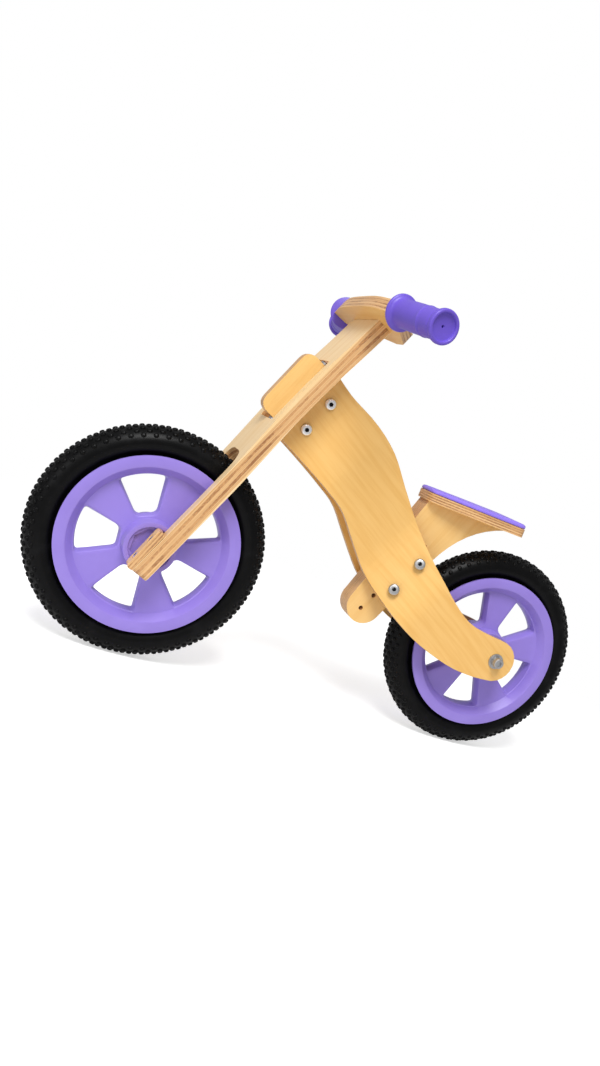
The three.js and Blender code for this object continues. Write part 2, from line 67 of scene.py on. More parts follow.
BAR_SWEEP = math.radians(15.4)
BAR_RISE = math.radians(2)


# ---- small helpers ----
def link(name, mesh):
    obj = bpy.data.objects.new(name, mesh)
    bpy.context.scene.collection.objects.link(obj)
    return obj


def apply_modifiers(obj):
    """Bakes the modifiers into the mesh, so that later steps see the real surface."""
    depsgraph = bpy.context.evaluated_depsgraph_get()
    mesh = bpy.data.meshes.new_from_object(obj.evaluated_get(depsgraph))
    obj.modifiers.clear()
    obj.data = mesh


def mesh_object(name, shape):
    """A new object from a bmesh, which is freed."""
    data = bpy.data.meshes.new(name)
    shape.to_mesh(data)
    shape.free()
    return link(name, data)


def bridge(shape, rings):
    """Quads between each ring of vertices and the next."""
    count = len(rings[0])
    for low, high in zip(rings, rings[1:]):
        for i in range(count):
            j = (i + 1) % count
            shape.faces.new((low[i], low[j], high[j], high[i]))


def smooth(obj, degrees):
    """Smooth shading that breaks at edges sharper than the angle."""
    mesh = obj.data
    for face in mesh.polygons:
        face.use_smooth = True
    mesh.set_sharp_from_angle(angle=math.radians(degrees))
    return obj


def bevel(obj, width, segments, degrees):
    """A bevel modifier on the edges that are sharper than the angle."""
    modifier = obj.modifiers.new("edge", "BEVEL")
    modifier.width = width
    modifier.segments = segments
    modifier.limit_method = "ANGLE"
    modifier.angle_limit = math.radians(degrees)


def weight_normals(obj):
    """Keeps the shading of a flat face flat right up to its eased edges."""
    modifier = obj.modifiers.new("normals", "WEIGHTED_NORMAL")
    modifier.keep_sharp = True
    apply_modifiers(obj)


def paint(obj, material):
    obj.data.materials.clear()
    obj.data.materials.append(material)


def piece(obj, body, slot, material, *nodes):
    """The object stands for the CAD nodes, rides on their body and wears the material."""
    paint(obj, material)
    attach(obj, body)
    if nodes:
        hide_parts(*nodes)


def fork_matrix():
    """To the row frame from the fork's own: forward, left, and up along the steering axis.

    The front axle is at its origin."""
    return Matrix.Translation(FRONT_AXLE) @ Matrix.Rotation(-HEAD_TILT, 4, "Y")


def bar_matrix(side):
    """From a bar end's own frame, outwards along +Y, to the row frame."""
    turn = Euler((BAR_RISE, 0, BAR_SWEEP)).to_matrix().to_4x4()
    left = fork_matrix() @ Matrix.Translation(BAR_ROOT) @ turn
    mirror = Matrix.Scale(-1, 4, Vector((0, 1, 0)))
    return left if side > 0 else mirror @ left


def lathe(name, profile, segments):
    """A surface of revolution about Y from a closed outline of (radius, y) points in metres."""
    mesh = bmesh.new()
    rings = []
    for k in range(segments):
        angle = 2 * math.pi * k / segments
        c, s = math.cos(angle), math.sin(angle)
        rings.append([mesh.verts.new((r * c, y, r * s)) for r, y in profile])
    count = len(profile)
    for k, ring in enumerate(rings):
        after = rings[(k + 1) % segments]
        for i in range(count):
            j = (i + 1) % count
            mesh.faces.new((ring[i], ring[j], after[j], after[i]))
    bmesh.ops.remove_doubles(mesh, verts=mesh.verts, dist=1e-6)
    bmesh.ops.recalc_face_normals(mesh, faces=mesh.faces)
    return mesh_object(name, mesh)


def fillet(points, radius, steps):
    """Rounds each corner of a closed polygon of (u, v) points with a short arc."""
    rounded = []
    count = len(points)
    for i, corner in enumerate(points):
        here = Vector(corner)
        before = Vector(points[i - 1])
        after = Vector(points[(i + 1) % count])
        reach = min(radius, 0.45 * (before - here).length, 0.45 * (after - here).length)
        start = here + (before - here).normalized() * reach
        end = here + (after - here).normalized() * reach
        for k in range(steps + 1):
            t = k / steps
            point = start * (1 - t) ** 2 + here * 2 * t * (1 - t) + end * t ** 2
            rounded.append((point.x, point.y))
    return rounded


# ---- materials ----
class Nodes:
    """Short names for building a shader tree."""

    def __init__(self, name):
        self.material = bpy.data.materials.new(name)
        self.material.use_nodes = True
        self.tree = self.material.node_tree
        self.shader = self.tree.nodes["Principled BSDF"]

    def feed(self, socket, value):
        """Links another node's output to the socket, or sets the socket to a fixed value."""
        if isinstance(value, bpy.types.NodeSocket):
            self.tree.links.new(value, socket)
        else:
            socket.default_value = value

    def make(self, kind, **inputs):
        node = self.tree.nodes.new(kind)
        for name, value in inputs.items():
            self.feed(node.inputs[name], value)
        return node

    def attribute(self, name):
        node = self.tree.nodes.new("ShaderNodeAttribute")
        node.attribute_name = name
        return node

    def math(self, operation, a, b=0.0):
        node = self.tree.nodes.new("ShaderNodeMath")
        node.operation = operation
        self.feed(node.inputs[0], a)
        self.feed(node.inputs[1], b)
        return node.outputs[0]

    def mix(self, factor, a, b):
        node = self.tree.nodes.new("ShaderNodeMix")
        node.data_type = "RGBA"
        # The node's sockets for colours are numbers 6 and 7, and output 2.
        self.feed(node.inputs[0], factor)
        self.feed(node.inputs[6], a)
        self.feed(node.inputs[7], b)
        return node.outputs[2]

    def vector_math(self, operation, vector, amounts):
        node = self.tree.nodes.new("ShaderNodeVectorMath")
        node.operation = operation
        self.feed(node.inputs[0], vector)
        self.feed(node.inputs[1], amounts)
        return node.outputs[0]

    def scaled(self, vector, x, y, z):
        return self.vector_math("MULTIPLY", vector, (x, y, z))

    def noise(self, vector, scale, detail, roughness=0.55):
        node = self.make("ShaderNodeTexNoise", Vector=vector, Scale=scale, Detail=detail)
        node.inputs["Roughness"].default_value = roughness
        return node.outputs["Fac"]

    def band(self, value, low, high):
        """0 below low and 1 above high, with a smooth step between."""
        node = self.tree.nodes.new("ShaderNodeMapRange")
        node.interpolation_type = "SMOOTHSTEP"
        self.tree.links.new(value, node.inputs[0])
        node.inputs[1].default_value = low
        node.inputs[2].default_value = high
        return node.outputs[0]

    def finish(self, color, roughness, height=None, depth=0.0, strength=0.0):
        """Feeds the shader, with a bump of this depth in metres where there is a height."""
        self.feed(self.shader.inputs["Base Color"], color)
        self.feed(self.shader.inputs["Roughness"], roughness)
        if height is not None:
            bump = self.make("ShaderNodeBump", Height=height, Distance=depth, Strength=strength)
            self.feed(self.shader.inputs["Normal"], bump.outputs[0])
        return self.material


def object_coordinates(nodes):
    return nodes.make("ShaderNodeTexCoord").outputs["Object"]


def plywood(name, plies, thickness, face, seed):
    """Lacquered birch ply. The "ply" attribute holds (along the grain, across, depth) in metres."""
    n = Nodes(name)
    vector = n.attribute("ply").outputs["Vector"]
    grain_at = n.vector_math("ADD", vector, (seed, seed * 0.37, seed * 0.11))
    layer = n.math("MULTIPLY", n.make("ShaderNodeSeparateXYZ", Vector=vector).outputs["Z"],
                   plies / thickness)
    inside = n.math("MINIMUM", n.math("MAXIMUM", layer, 0.001), plies - 0.001)
    index = n.math("FLOOR", inside)
    crossing = n.math("MODULO", index, 2.0)
    part = n.math("SUBTRACT", inside, index)
    # Long soft streaks, fine pores and broad cloudy figure in the face veneer.
    streak = n.noise(n.scaled(grain_at, 11, 150, 150), 1.0, 5.0)
    pores = n.noise(n.scaled(grain_at, 26, 900, 900), 1.0, 2.0)
    figure = n.noise(n.scaled(grain_at, 6, 17, 17), 1.0, 3.0)
    pale = tuple(min(1.0, v) for v in face) + (1.0,)
    deep = (face[0] * 0.93, face[1] * 0.86, face[2] * 0.72, 1.0)
    light = n.mix(n.band(streak, 0.36, 0.72), pale, deep)
    cloudy = n.mix(n.math("MULTIPLY", n.band(figure, 0.42, 0.7), 0.42), light, deep)
    lined = n.mix(n.math("MULTIPLY", n.band(pores, 0.56, 0.74), 0.38), cloudy, deep)
    # Cut edges show the long plies' side grain, darker than the face veneer.
    skin = 0.14
    deeper = n.math("GREATER_THAN", layer, skin)
    shallower = n.math("LESS_THAN", layer, plies - skin)
    edge_only = n.math("MULTIPLY", deeper, shallower)
    fibre = n.noise(n.scaled(grain_at, 9, 60, 1500), 1.0, 3.0)
    side_light = (0.86, 0.54, 0.25, 1.0)
    side_dark = (0.56, 0.28, 0.10, 1.0)
    side_grain = n.mix(n.band(fibre, 0.34, 0.7), side_light, side_dark)
    lined = n.mix(edge_only, lined, side_grain)
    # End grain of the crossing plies is darker and speckled.
    speck = n.noise(n.scaled(grain_at, 260, 260, 900), 1.0, 3.0)
    patch = n.noise(n.scaled(grain_at, 22, 22, 60), 1.0, 2.0)
    brown = (0.36, 0.155, 0.055, 1.0)
    tan = (0.66, 0.345, 0.135, 1.0)
    dotted = n.math("ADD", n.math("MULTIPLY", speck, 0.5), n.math("MULTIPLY", patch, 0.5))
    end_grain = n.mix(n.band(dotted, 0.40, 0.62), tan, brown)
    body = n.mix(crossing, lined, end_grain)
    # A pale glue line where two plies meet.
    low = n.band(part, 0.0, 0.10)
    high = n.math("SUBTRACT", 1.0, n.band(part, 0.90, 1.0))
    seam = n.math("SUBTRACT", 1.0, n.math("MINIMUM", low, high))
    seam = n.math("MULTIPLY", n.math("MULTIPLY", seam, edge_only), 0.55)
    color = n.mix(seam, body, (0.94, 0.68, 0.38, 1.0))
    rough = n.math("ADD", n.math("MULTIPLY", streak, 0.16), 0.34)
    height = n.math("ADD", n.math("MULTIPLY", pores, 0.6), n.math("MULTIPLY", crossing, -0.5))
    n.shader.inputs["Coat Weight"].default_value = 0.12
    n.shader.inputs["Coat Roughness"].default_value = 0.25
    return n.finish(color, rough, height, 0.0002, 0.25)


def moulded(name, base, dark, roughness):
    """Injection-moulded plastic or rubber: slight mottling and a fine satin texture."""
    n = Nodes(name)
    at = object_coordinates(n)
    mottle = n.noise(at, 24, 4.0)
    fine = n.noise(at, 1700, 2.0)
    color = n.mix(n.math("MULTIPLY", n.band(mottle, 0.3, 0.75), 0.55), base, dark)
    rough = n.math("ADD", n.math("MULTIPLY", mottle, 0.14), roughness - 0.07)
    return n.finish(color, rough, fine, 0.00008, 0.35)


def tyre_rubber():
    n = Nodes("tyre_rubber")
    n.shader.inputs["Specular IOR Level"].default_value = 0.12
    at = object_coordinates(n)
    dust = n.noise(at, 40, 5.0, 0.65)
    fine = n.noise(at, 1300, 3.0)
    color = n.mix(n.band(dust, 0.45, 0.8), (0.002, 0.002, 0.0022, 1), (0.006, 0.006, 0.0065, 1))
    rough = n.math("ADD", n.math("MULTIPLY", dust, 0.18), 0.26)
    return n.finish(color, rough, fine, 0.00015, 0.4)


def zinc(name, bright, dull):
    n = Nodes(name)
    at = object_coordinates(n)
    brushed = n.noise(n.scaled(at, 900, 120, 900), 1.0, 3.0)
    cloud = n.noise(at, 160, 3.0)
    plated = n.mix(cloud, (bright, bright, bright, 1), (dull, dull, dull * 1.02, 1))
    # Screw sockets and the foot of each head carry a "recess" of 1, where painted shade darkens the
    # plating.
    recess = n.attribute("recess").outputs["Fac"]
    color = n.mix(recess, plated, (0.02, 0.02, 0.022, 1))
    rough = n.math("ADD", n.math("MULTIPLY", brushed, 0.08), 0.36)
    n.shader.inputs["Metallic"].default_value = 1.0
    return n.finish(color, rough, brushed, 0.00002, 0.1)


def foam_skin():
    """The seat pad's soft sheet with a fine pebbled skin."""
    n = Nodes("seat_foam")
    at = object_coordinates(n)
    pebble = n.make("ShaderNodeTexVoronoi", Vector=at, Scale=900.0).outputs["Distance"]
    patch = n.noise(at, 30, 4.0)
    color = n.mix(n.band(patch, 0.35, 0.75), (0.30, 0.20, 0.86, 1), (0.25, 0.16, 0.78, 1))
    rough = n.math("ADD", n.math("MULTIPLY", patch, 0.15), 0.5)
    n.shader.inputs["Sheen Weight"].default_value = 0.15
    return n.finish(color, rough, pebble, 0.0002, 0.35)


# ---- wood: the CAD solids with eased edges and laid-up veneers ----
def smoothstep(t):
    t = min(1.0, max(0.0, t))
    return t * t * (3 - 2 * t)


def panel_outer(s):
    """Half-width at the bent panel's outer face, in metres, at distance s (mm) along it."""
    waist = 27
    tail_end, tail_run, tail_flare = 245, 110, 33
    nose_start, nose_run, nose_taper = 345, 85, 9
    tail = smoothstep((tail_end - s) / tail_run) * tail_flare
    nose = smoothstep((s - nose_start) / nose_run) * nose_taper
    return (waist + tail - nose) * MM


def panel_slope(s):
    """How fast the half-width grows at distance s (mm) along the panel."""
    return (panel_outer(s + 1) - panel_outer(s - 1)) / (2 * MM)


def panel_ply(p):
    x, z = p.x - REAR_AXLE.x, p.z - AXLE_HEIGHT
    s = x * math.cos(BEND_ANGLE) + z * math.sin(BEND_ANGLE)
    t = z * math.cos(BEND_ANGLE) - x * math.sin(BEND_ANGLE)
    depth = (panel_outer(s / MM) - abs(p.y)) * math.cos(math.atan(panel_slope(s / MM)))
    return s, t, depth


def fork_local(p):
    return fork_matrix().inverted() @ p


# The fork board's front face in the fork's frame, in mm: (up from the front axle, forward of it).
BOARD_FRONT = [(-33, 2.4), (70, 0.3), (150, -0.5), (235, 1.2), (312, -0.7), (362, -4.1), (412, -7)]


def board_front(u):
    for (low, a), (high, b) in zip(BOARD_FRONT, BOARD_FRONT[1:]):
        if u <= high or high == BOARD_FRONT[-1][0]:
            return (a + (b - a) * (u - low) / (high - low)) * MM
    return BOARD_FRONT[-1][1] * MM


def board_ply(p):
    q = fork_local(p)
    return q.z, q.y, board_front(q.z / MM) - q.x


def clamp_ply(p):
    q = fork_local(p)
    return q.z, q.y, CLAMP_FACE - q.x


def yoke_ply(p):
    q = fork_local(p)
    return q.y, q.x, q.z - YOKE_UNDERSIDE


def knuckle_ply(p):
    q = fork_local(p)
    return q.z, q.x, p.y + KNUCKLE_THICKNESS / 2


def support_ply(p):
    up, back = 0.92, 0.39
    return p.z * up - p.x * back, p.x * up + p.z * back, abs(p.y) - SUPPORT_GAP


def seat_ply(p):
    return p.x, p.y, p.z - SEAT_BOARD_UNDERSIDE


def wooden(node, body, ply_of, material, ease=1.2):
    """The CAD solid as a new piece: flat faces merged, edges eased, ply coordinates attached."""
    shape = bmesh.new()
    shape.from_mesh(NODES[node].data)
    bmesh.ops.remove_doubles(shape, verts=shape.verts, dist=1e-5)
    # Only faces in one plane are merged. A looser angle left overlapping faces on the panels.
    bmesh.ops.dissolve_limit(shape, angle_limit=math.radians(0.01), verts=shape.verts,
                             edges=shape.edges)
    obj = mesh_object(node + "_wood", shape)
    bevel(obj, ease * MM, 3, 40)
    apply_modifiers(obj)
    smooth(obj, 32)
    weight_normals(obj)
    attribute = obj.data.attributes.new("ply", "FLOAT_VECTOR", "POINT")
    for vertex in obj.data.vertices:
        attribute.data[vertex.index].vector = ply_of(vertex.co)
    piece(obj, body, "birch_ply", material, node)


def build_wood():
    tan = (0.90, 0.545, 0.175)
    pale = (0.95, 0.70, 0.40)
    left = plywood("panel_ply_left", 7, PANEL_THICKNESS, tan, 0.3)
    right = plywood("panel_ply_right", 7, PANEL_THICKNESS, tan, 1.7)
    wooden("side_panel_left", "frame", panel_ply, left)
    wooden("side_panel_right", "frame", panel_ply, right)
    knuckle = plywood("knuckle_ply", 11, KNUCKLE_THICKNESS, (0.94, 0.61, 0.22), 2.2)
    wooden("steering_knuckle", "frame", knuckle_ply, knuckle, 1.6)
    support = plywood("support_ply", 9, SUPPORT_THICKNESS, (0.93, 0.60, 0.23), 3.1)
    wooden("seat_support_left", "frame", support_ply, support, 1.0)
    wooden("seat_support_right", "frame", support_ply, support, 1.0)
    seat = plywood("seat_ply", 7, SEAT_BOARD_THICKNESS, tan, 4.4)
    wooden("seat_board", "frame", seat_ply, seat)
    board = plywood("board_ply", 5, BOARD_THICKNESS, pale, 5.3)
    wooden("fork_board", "fork", board_ply, board, 2.2)
    block = plywood("clamp_ply", 5, CLAMP_THICKNESS, (0.90, 0.60, 0.28), 6.1)
    wooden("clamp_block_left", "fork", clamp_ply, block, 1.2)
    wooden("clamp_block_right", "fork", clamp_ply, block, 1.2)
    yoke = plywood("yoke_ply", 7, YOKE_THICKNESS, tan, 7.7)
    wooden("handlebar_yoke", "fork", yoke_ply, yoke, 1.4)


# ---- wheels ----
TREAD_ROWS = (29, 47, 65, 82, 98, 115, 133, 151)
KNOBS_PER_ROW = 58
KNOB_SIDES = 8
CASING_RING = 0.1295
CASING_RADIUS = 0.0199
WINDOWS = 5
# Degrees up from straight ahead to the middle of each wheel's first window.
FRONT_FIRST_WINDOW = -5
REAR_FIRST_WINDOW = 54
HUB_SIDES = 8
HUB_RECESS_RADIUS = 0.025
HUB_RECESS_FLOOR = 0.028  # from the wheel's middle plane
HUB_CUTTER_TOP = 0.036


def casing_profile():
    """The tyre's smooth casing with a few fine moulded ribs low on each sidewall."""
    points = []
    for degrees in range(-42, 223, 2):
        a = math.radians(degrees)
        flank = 0.0012 * max(0.0, 1 - abs(math.sin(a)) * 1.4)
        rib = 0.0006 if min(degrees, 180 - degrees) in (-9, -3, 3) else 0.0
        radius = CASING_RADIUS + flank + rib
        points.append((CASING_RING + radius * math.sin(a), radius * math.cos(a)))
    foot = [(0.1075, -0.0155), (0.1058, -0.011), (0.1058, 0.011), (0.1075, 0.0155)]
    return points + foot


def add_knob(mesh, place):
    """A low rubber stud that rounds over to a small flat top."""
    levels = ((0.0037, -0.0008), (0.0034, 0.0008), (0.0027, 0.0017), (0.0014, 0.0021))
    rings = []
    for radius, height in levels:
        ring = []
        for k in range(KNOB_SIDES):
            a = 2 * math.pi * (k + 0.5) / KNOB_SIDES
            point = Vector((radius * math.cos(a), radius * math.sin(a), height))
            ring.append(mesh.verts.new(place @ point))
        rings.append(ring)
    bridge(mesh, rings)
    mesh.faces.new(rings[-1])
    mesh.faces.new(list(reversed(rings[0])))


def add_tread(name):
    """Staggered rows of studs that cross the crown from shoulder to shoulder."""
    mesh = bmesh.new()
    for row, degrees in enumerate(TREAD_ROWS):
        a = math.radians(degrees)
        out = Vector((math.sin(a), math.cos(a), 0))
        base = Vector((CASING_RING, 0, 0)) + out * CASING_RADIUS
        along = Vector((0, 0, 1))
        across = along.cross(out)
        local = Matrix((across, along, out)).transposed().to_4x4()
        local.translation = base
        for k in range(KNOBS_PER_ROW):
            turn = 2 * math.pi * (k + 0.5 * (row % 2)) / KNOBS_PER_ROW
            add_knob(mesh, Matrix.Rotation(turn, 4, "Y") @ local)
    bmesh.ops.recalc_face_normals(mesh, faces=mesh.faces)
    return mesh_object(name, mesh)


def window_outline(half_angle, inner, outer, corner):
    """One window between two spokes, as (x, z) points with radial sides and rounded corners."""
    steps = 6
    points = []
    for k in range(steps + 1):
        a = -half_angle + 2 * half_angle * k / steps
        points.append((outer * math.cos(a), outer * math.sin(a)))
    for a in (half_angle, -half_angle):
        points.append((inner * math.cos(a), inner * math.sin(a)))
    return fillet(points, corner, 4)


def window_cutter(name, first_window):
    """Everything that is cut from a rim: the windows and the recess in each end of the hub.

    A window is full size at the disc's faces and narrower in the middle by the mould's draft."""
    mesh = bmesh.new()
    face = window_outline(math.radians(22.5), 0.0374, 0.0926, 0.008)
    shoulder = window_outline(math.radians(20.2), 0.0392, 0.0908, 0.007)
    waist = window_outline(math.radians(18.2), 0.0412, 0.0892, 0.0065)
    # Each pair is the distance from the wheel's middle plane and the outline there.
    half = ((0.0135, face), (0.0121, face), (0.0112, shoulder), (0.0004, waist))
    levels = half + tuple((-y, outline) for y, outline in reversed(half))
    for k in range(WINDOWS):
        turn = Matrix.Rotation(-math.radians(first_window + 360 / WINDOWS * k), 4, "Y")
        rings = []
        for y, outline in levels:
            rings.append([mesh.verts.new(turn @ Vector((x, y, z))) for x, z in outline])
        bridge(mesh, rings)
        mesh.faces.new(rings[0])
        mesh.faces.new(list(reversed(rings[-1])))
    for side in (-1, 1):
        octagon = []
        for k in range(HUB_SIDES):
            a = math.radians(360 / HUB_SIDES * (k + 0.5))
            x, z = HUB_RECESS_RADIUS * math.cos(a), HUB_RECESS_RADIUS * math.sin(a)
            octagon.append(mesh.verts.new((x, side * HUB_RECESS_FLOOR, z)))
        top = [mesh.verts.new((v.co.x, side * HUB_CUTTER_TOP, v.co.z)) for v in octagon]
        bridge(mesh, [octagon, top])
        mesh.faces.new(octagon)
        mesh.faces.new(list(reversed(top)))
    bmesh.ops.recalc_face_normals(mesh, faces=mesh.faces)
    return mesh_object(name, mesh)


def rim_profile():
    """Moulded rim: hub barrel, flat disc, coned step and the broad bead ring."""
    half = [(0.0092, 0.032), (0.0265, 0.032), (0.0275, 0.035), (0.033, 0.035), (0.0345, 0.012),
            (0.092, 0.012), (0.1005, 0.0238), (0.1025, 0.0242), (0.1150, 0.0242),
            (0.1150, 0.0206), (0.1052, 0.0192)]
    mirrored = [(r, -y) for r, y in reversed(half)]
    return half + mirrored


def cut_with(obj, cutter):
    modifier = obj.modifiers.new("cut", "BOOLEAN")
    modifier.operation = "DIFFERENCE"
    modifier.solver = "EXACT"
    modifier.object = cutter
    apply_modifiers(obj)
    bpy.data.objects.remove(cutter)
    return obj


def merge(name, objects):
    """One object from several, such as a tyre's casing and tread."""
    mesh = bmesh.new()
    for obj in objects:
        mesh.from_mesh(obj.data)
        bpy.data.objects.remove(obj)
    return mesh_object(name, mesh)


def build_wheel(prefix, centre, first_window, purple, black):
    body = prefix + "_wheel"
    rim = cut_with(lathe(prefix + "_rim_moulding", rim_profile(), 120),
                   window_cutter(prefix + "_windows", first_window))
    bevel(rim, 0.9 * MM, 2, 28)
    apply_modifiers(rim)
    smooth(rim, 30)
    rim.data.transform(Matrix.Translation(centre))
    piece(rim, body, "purple_plastic", purple, prefix + "_rim")
    casing = lathe(prefix + "_casing", casing_profile(), 116)
    tyre = merge(prefix + "_knobbly_tyre", [casing, add_tread(prefix + "_tread")])
    smooth(tyre, 50)
    tyre.data.transform(Matrix.Translation(centre))
    piece(tyre, body, "rubber", black, prefix + "_tyre")


# ---- grips and seat ----
def grip_profile():
    """Hand grip: inner flange, barely crowned barrel, ring seam, neck and dished end flange."""
    start, length, radius, crown = 0.009, 0.0755, 0.0172, 0.0006
    steps = 12
    barrel = []
    for k in range(steps + 1):
        y = start + length * k / steps
        barrel.append((radius + crown * math.sin(math.pi * k / steps), y))
    seam = [(0.0180, 0.0602), (0.01835, 0.0606), (0.0180, 0.0610)]
    barrel = sorted(barrel + seam, key=lambda point: point[1])
    return [(0.0063, 0.0002), (0.0212, 0.0002), (0.0221, 0.0006), (0.0224, 0.0014),
            (0.0224, 0.0030), (0.0219, 0.0040), (0.0205, 0.0046), (0.0188, 0.0056),
            (0.0177, 0.0074), *barrel, (0.0164, 0.0853), (0.0152, 0.0860), (0.0152, 0.0876),
            (0.0192, 0.0880), (0.0201, 0.0886), (0.0204, 0.0898), (0.0204, 0.0928),
            (0.0199, 0.0942), (0.0190, 0.0948), (0.0172, 0.0949), (0.0163, 0.0944),
            (0.0158, 0.0930), (0.0153, 0.0916), (0.0120, 0.0908), (0.0040, 0.0904),
            (0.0019, 0.0903), (0.0016, 0.0898), (0.0016, 0.0870), (0.0001, 0.0870),
            (0.0001, 0.0836), (0.0063, 0.0836)]


def build_grips(material):
    for side, name in ((1, "left"), (-1, "right")):
        grip = lathe("hand_grip_" + name, grip_profile(), 72)
        grip.data.transform(bar_matrix(side))
        if side < 0:
            grip.data.flip_normals()
        smooth(grip, 45)
        piece(grip, "fork", "grip_rubber", material, "grip_" + name)


def seat_outline(inset):
    """Top view of the seat: a squarish nose that widens to a broad tail."""
    nose, tail = 0.027 - inset, 0.050 - inset
    front, rear = -0.077 - inset, -0.227 + inset
    shoulder, shoulder_width = -0.165, tail - 0.003
    corner_radius = 0.014
    corners = [(front, -nose), (front, nose), (shoulder, shoulder_width), (rear, tail),
               (rear, -tail), (shoulder, -shoulder_width)]
    return fillet(corners, corner_radius, 6)


def build_pad(material):
    """A thin foam pad with a rolled edge and a slightly crowned top."""
    low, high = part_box("seat_pad")
    base = low[2]
    rise = high[2] - low[2]
    # Each pair is how far the outline is drawn in, in metres, and its share of the height.
    levels = ((0.0016, 0.0), (0.0006, 0.10), (0.0003, 0.35), (0.0005, 0.6), (0.0016, 0.82),
              (0.0036, 0.93), (0.008, 0.97), (0.016, 0.985), (0.024, 0.995))
    mesh = bmesh.new()
    rings = []
    for inset, part in levels:
        ring = [mesh.verts.new((x, y, base + rise * part)) for x, y in seat_outline(inset)]
        rings.append(ring)
    bridge(mesh, rings)
    mesh.faces.new(rings[-1])
    mesh.faces.new(list(reversed(rings[0])))
    bmesh.ops.recalc_face_normals(mesh, faces=mesh.faces)
    pad = smooth(mesh_object("seat_foam_pad", mesh), 50)
    piece(pad, "frame", "seat_pad", material, "seat_pad")


# ---- screw heads: rounded buttons with a hexagon socket ----
BOLT_HEAD_RADIUS = 0.0075
SEAT_BOLT_HEAD_RADIUS = 0.0080
BOLT_HEAD_HEIGHT = 0.0047
BOLT_HEAD_ROOM = 0.0048  # from the CAD head's top down to the panel
BOLT_SOCKET = 0.0029
BOLT_SOCKET_DEPTH = 0.0029
SHANK_RADIUS = 0.003
NUT_SHANK_LENGTH = 0.003
SCREW_HEAD_RADIUS = 0.0050
SCREW_HEAD_HEIGHT = 0.0031
SCREW_SOCKET = 0.0023
SCREW_SOCKET_DEPTH = 0.0022
SCREW_RADIUS = 0.002
SCREW_LENGTH = 0.0166
SCREW_SINK = 0.0034  # from the clamp block's face down to the head's seat
SCREW_ASIDE = 0.046  # from the bike's middle


def socket_head(name, radius, height, socket, depth):
    """A button head that stands on y = 0 and faces +Y. The socket's size is to its corners."""
    mesh = bmesh.new()
    recess = mesh.verts.layers.float.new("recess")
    sides = 48
    profile = [(radius * 0.97, 0.0), (radius, height * 0.08), (radius, height * 0.30),
               (radius * 0.97, height * 0.55), (radius * 0.90, height * 0.78),
               (radius * 0.80, height * 0.93), (radius * 0.68, height)]
    rings = []
    for r, y in profile:
        rings.append([mesh.verts.new((r * math.cos(2 * math.pi * k / sides), y,
                                      r * math.sin(2 * math.pi * k / sides)))
                      for k in range(sides)])

    def hexagon(size, y):
        ring = []
        for k in range(sides):
            a = 2 * math.pi * k / sides
            off = (a + math.pi / 6) % (math.pi / 3) - math.pi / 6
            r = size * math.cos(math.pi / 6) / math.cos(off)
            ring.append(mesh.verts.new((r * math.cos(a), y, r * math.sin(a))))
        return ring

    rings.append(hexagon(socket * 1.12, height))
    dark_from = len(rings)
    rings.append(hexagon(socket, height - 0.0003))
    rings.append(hexagon(socket, height - depth))
    bridge(mesh, rings)
    mesh.faces.new(rings[-1])
    mesh.faces.new(list(reversed(rings[0])))
    # Painted shade: the socket's walls and floor and the head's foot get a "recess" of 1, which the
    # plating's material turns dark.
    for ring in rings[:2] + rings[dark_from:]:
        for vertex in ring:
            vertex[recess] = 1.0
    bmesh.ops.recalc_face_normals(mesh, faces=mesh.faces)
    return smooth(mesh_object(name, mesh), 38)


def shank(name, radius, low, high):
    core = 0.0001
    return lathe(name, [(core, low), (radius, low), (radius, high), (core, high)], 24)


def through_bolt(node, side, lean, material):
    """A head over a round shank, standing where the CAD bolt or nut stands."""
    low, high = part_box(node)
    x, z = (low[0] + high[0]) / 2, (low[2] + high[2]) / 2
    radius = SEAT_BOLT_HEAD_RADIUS if lean else BOLT_HEAD_RADIUS
    face = (high[1] if side > 0 else -low[1]) - BOLT_HEAD_ROOM - radius * math.sin(lean)
    head = socket_head(node + "_head", radius, BOLT_HEAD_HEIGHT, BOLT_SOCKET, BOLT_SOCKET_DEPTH)
    bend = Matrix.Rotation(BEND_ANGLE, 4, "Y")
    tilt = bend.inverted() @ Matrix.Rotation(lean, 4, "Z") @ bend
    head.data.transform(Matrix.Translation(Vector((0, face, 0))) @ tilt)
    # A bolt's shank reaches the far panel, and a nut's is short.
    reach = -face if side > 0 and "bolt" in node else face - NUT_SHANK_LENGTH
    stem = shank(node + "_shank", SHANK_RADIUS, reach + 0.0005, face + 0.001)
    bolt = merge(node + "_fastener", [head, stem])
    if side < 0:
        bolt.data.transform(Matrix.Scale(-1, 4, Vector((0, 1, 0))))
        bolt.data.flip_normals()
    bolt.data.transform(Matrix.Translation(Vector((x, 0, z))))
    smooth(bolt, 38)
    piece(bolt, "frame", "zinc_steel", material, node)


def clamp_screw(node, material):
    """A wood screw whose head sits just under the clamp block's face."""
    low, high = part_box(node)
    corners = [fork_local(Vector((x, 0, z))) for x in (low[0], high[0]) for z in (low[2], high[2])]
    middle_up = sum(corner.z for corner in corners) / 4
    side = 1 if high[1] > 0 else -1
    head = socket_head(node + "_head", SCREW_HEAD_RADIUS, SCREW_HEAD_HEIGHT, SCREW_SOCKET,
                       SCREW_SOCKET_DEPTH)
    stem = shank(node + "_stem", SCREW_RADIUS, -SCREW_LENGTH, 0.0002)
    screw = merge(node + "_screw", [head, stem])
    screw.data.transform(Matrix.Rotation(-math.pi / 2, 4, "Z"))
    forward = screw_face(middle_up) - SCREW_SINK
    place = Matrix.Translation(Vector((forward, side * SCREW_ASIDE, middle_up)))
    screw.data.transform(fork_matrix() @ place)
    smooth(screw, 38)
    piece(screw, "fork", "zinc_steel", material, node)


def screw_face(up):
    """Forward position of the clamp block's front face at this height."""
    return board_front(up / MM) + CLAMP_STANDOFF


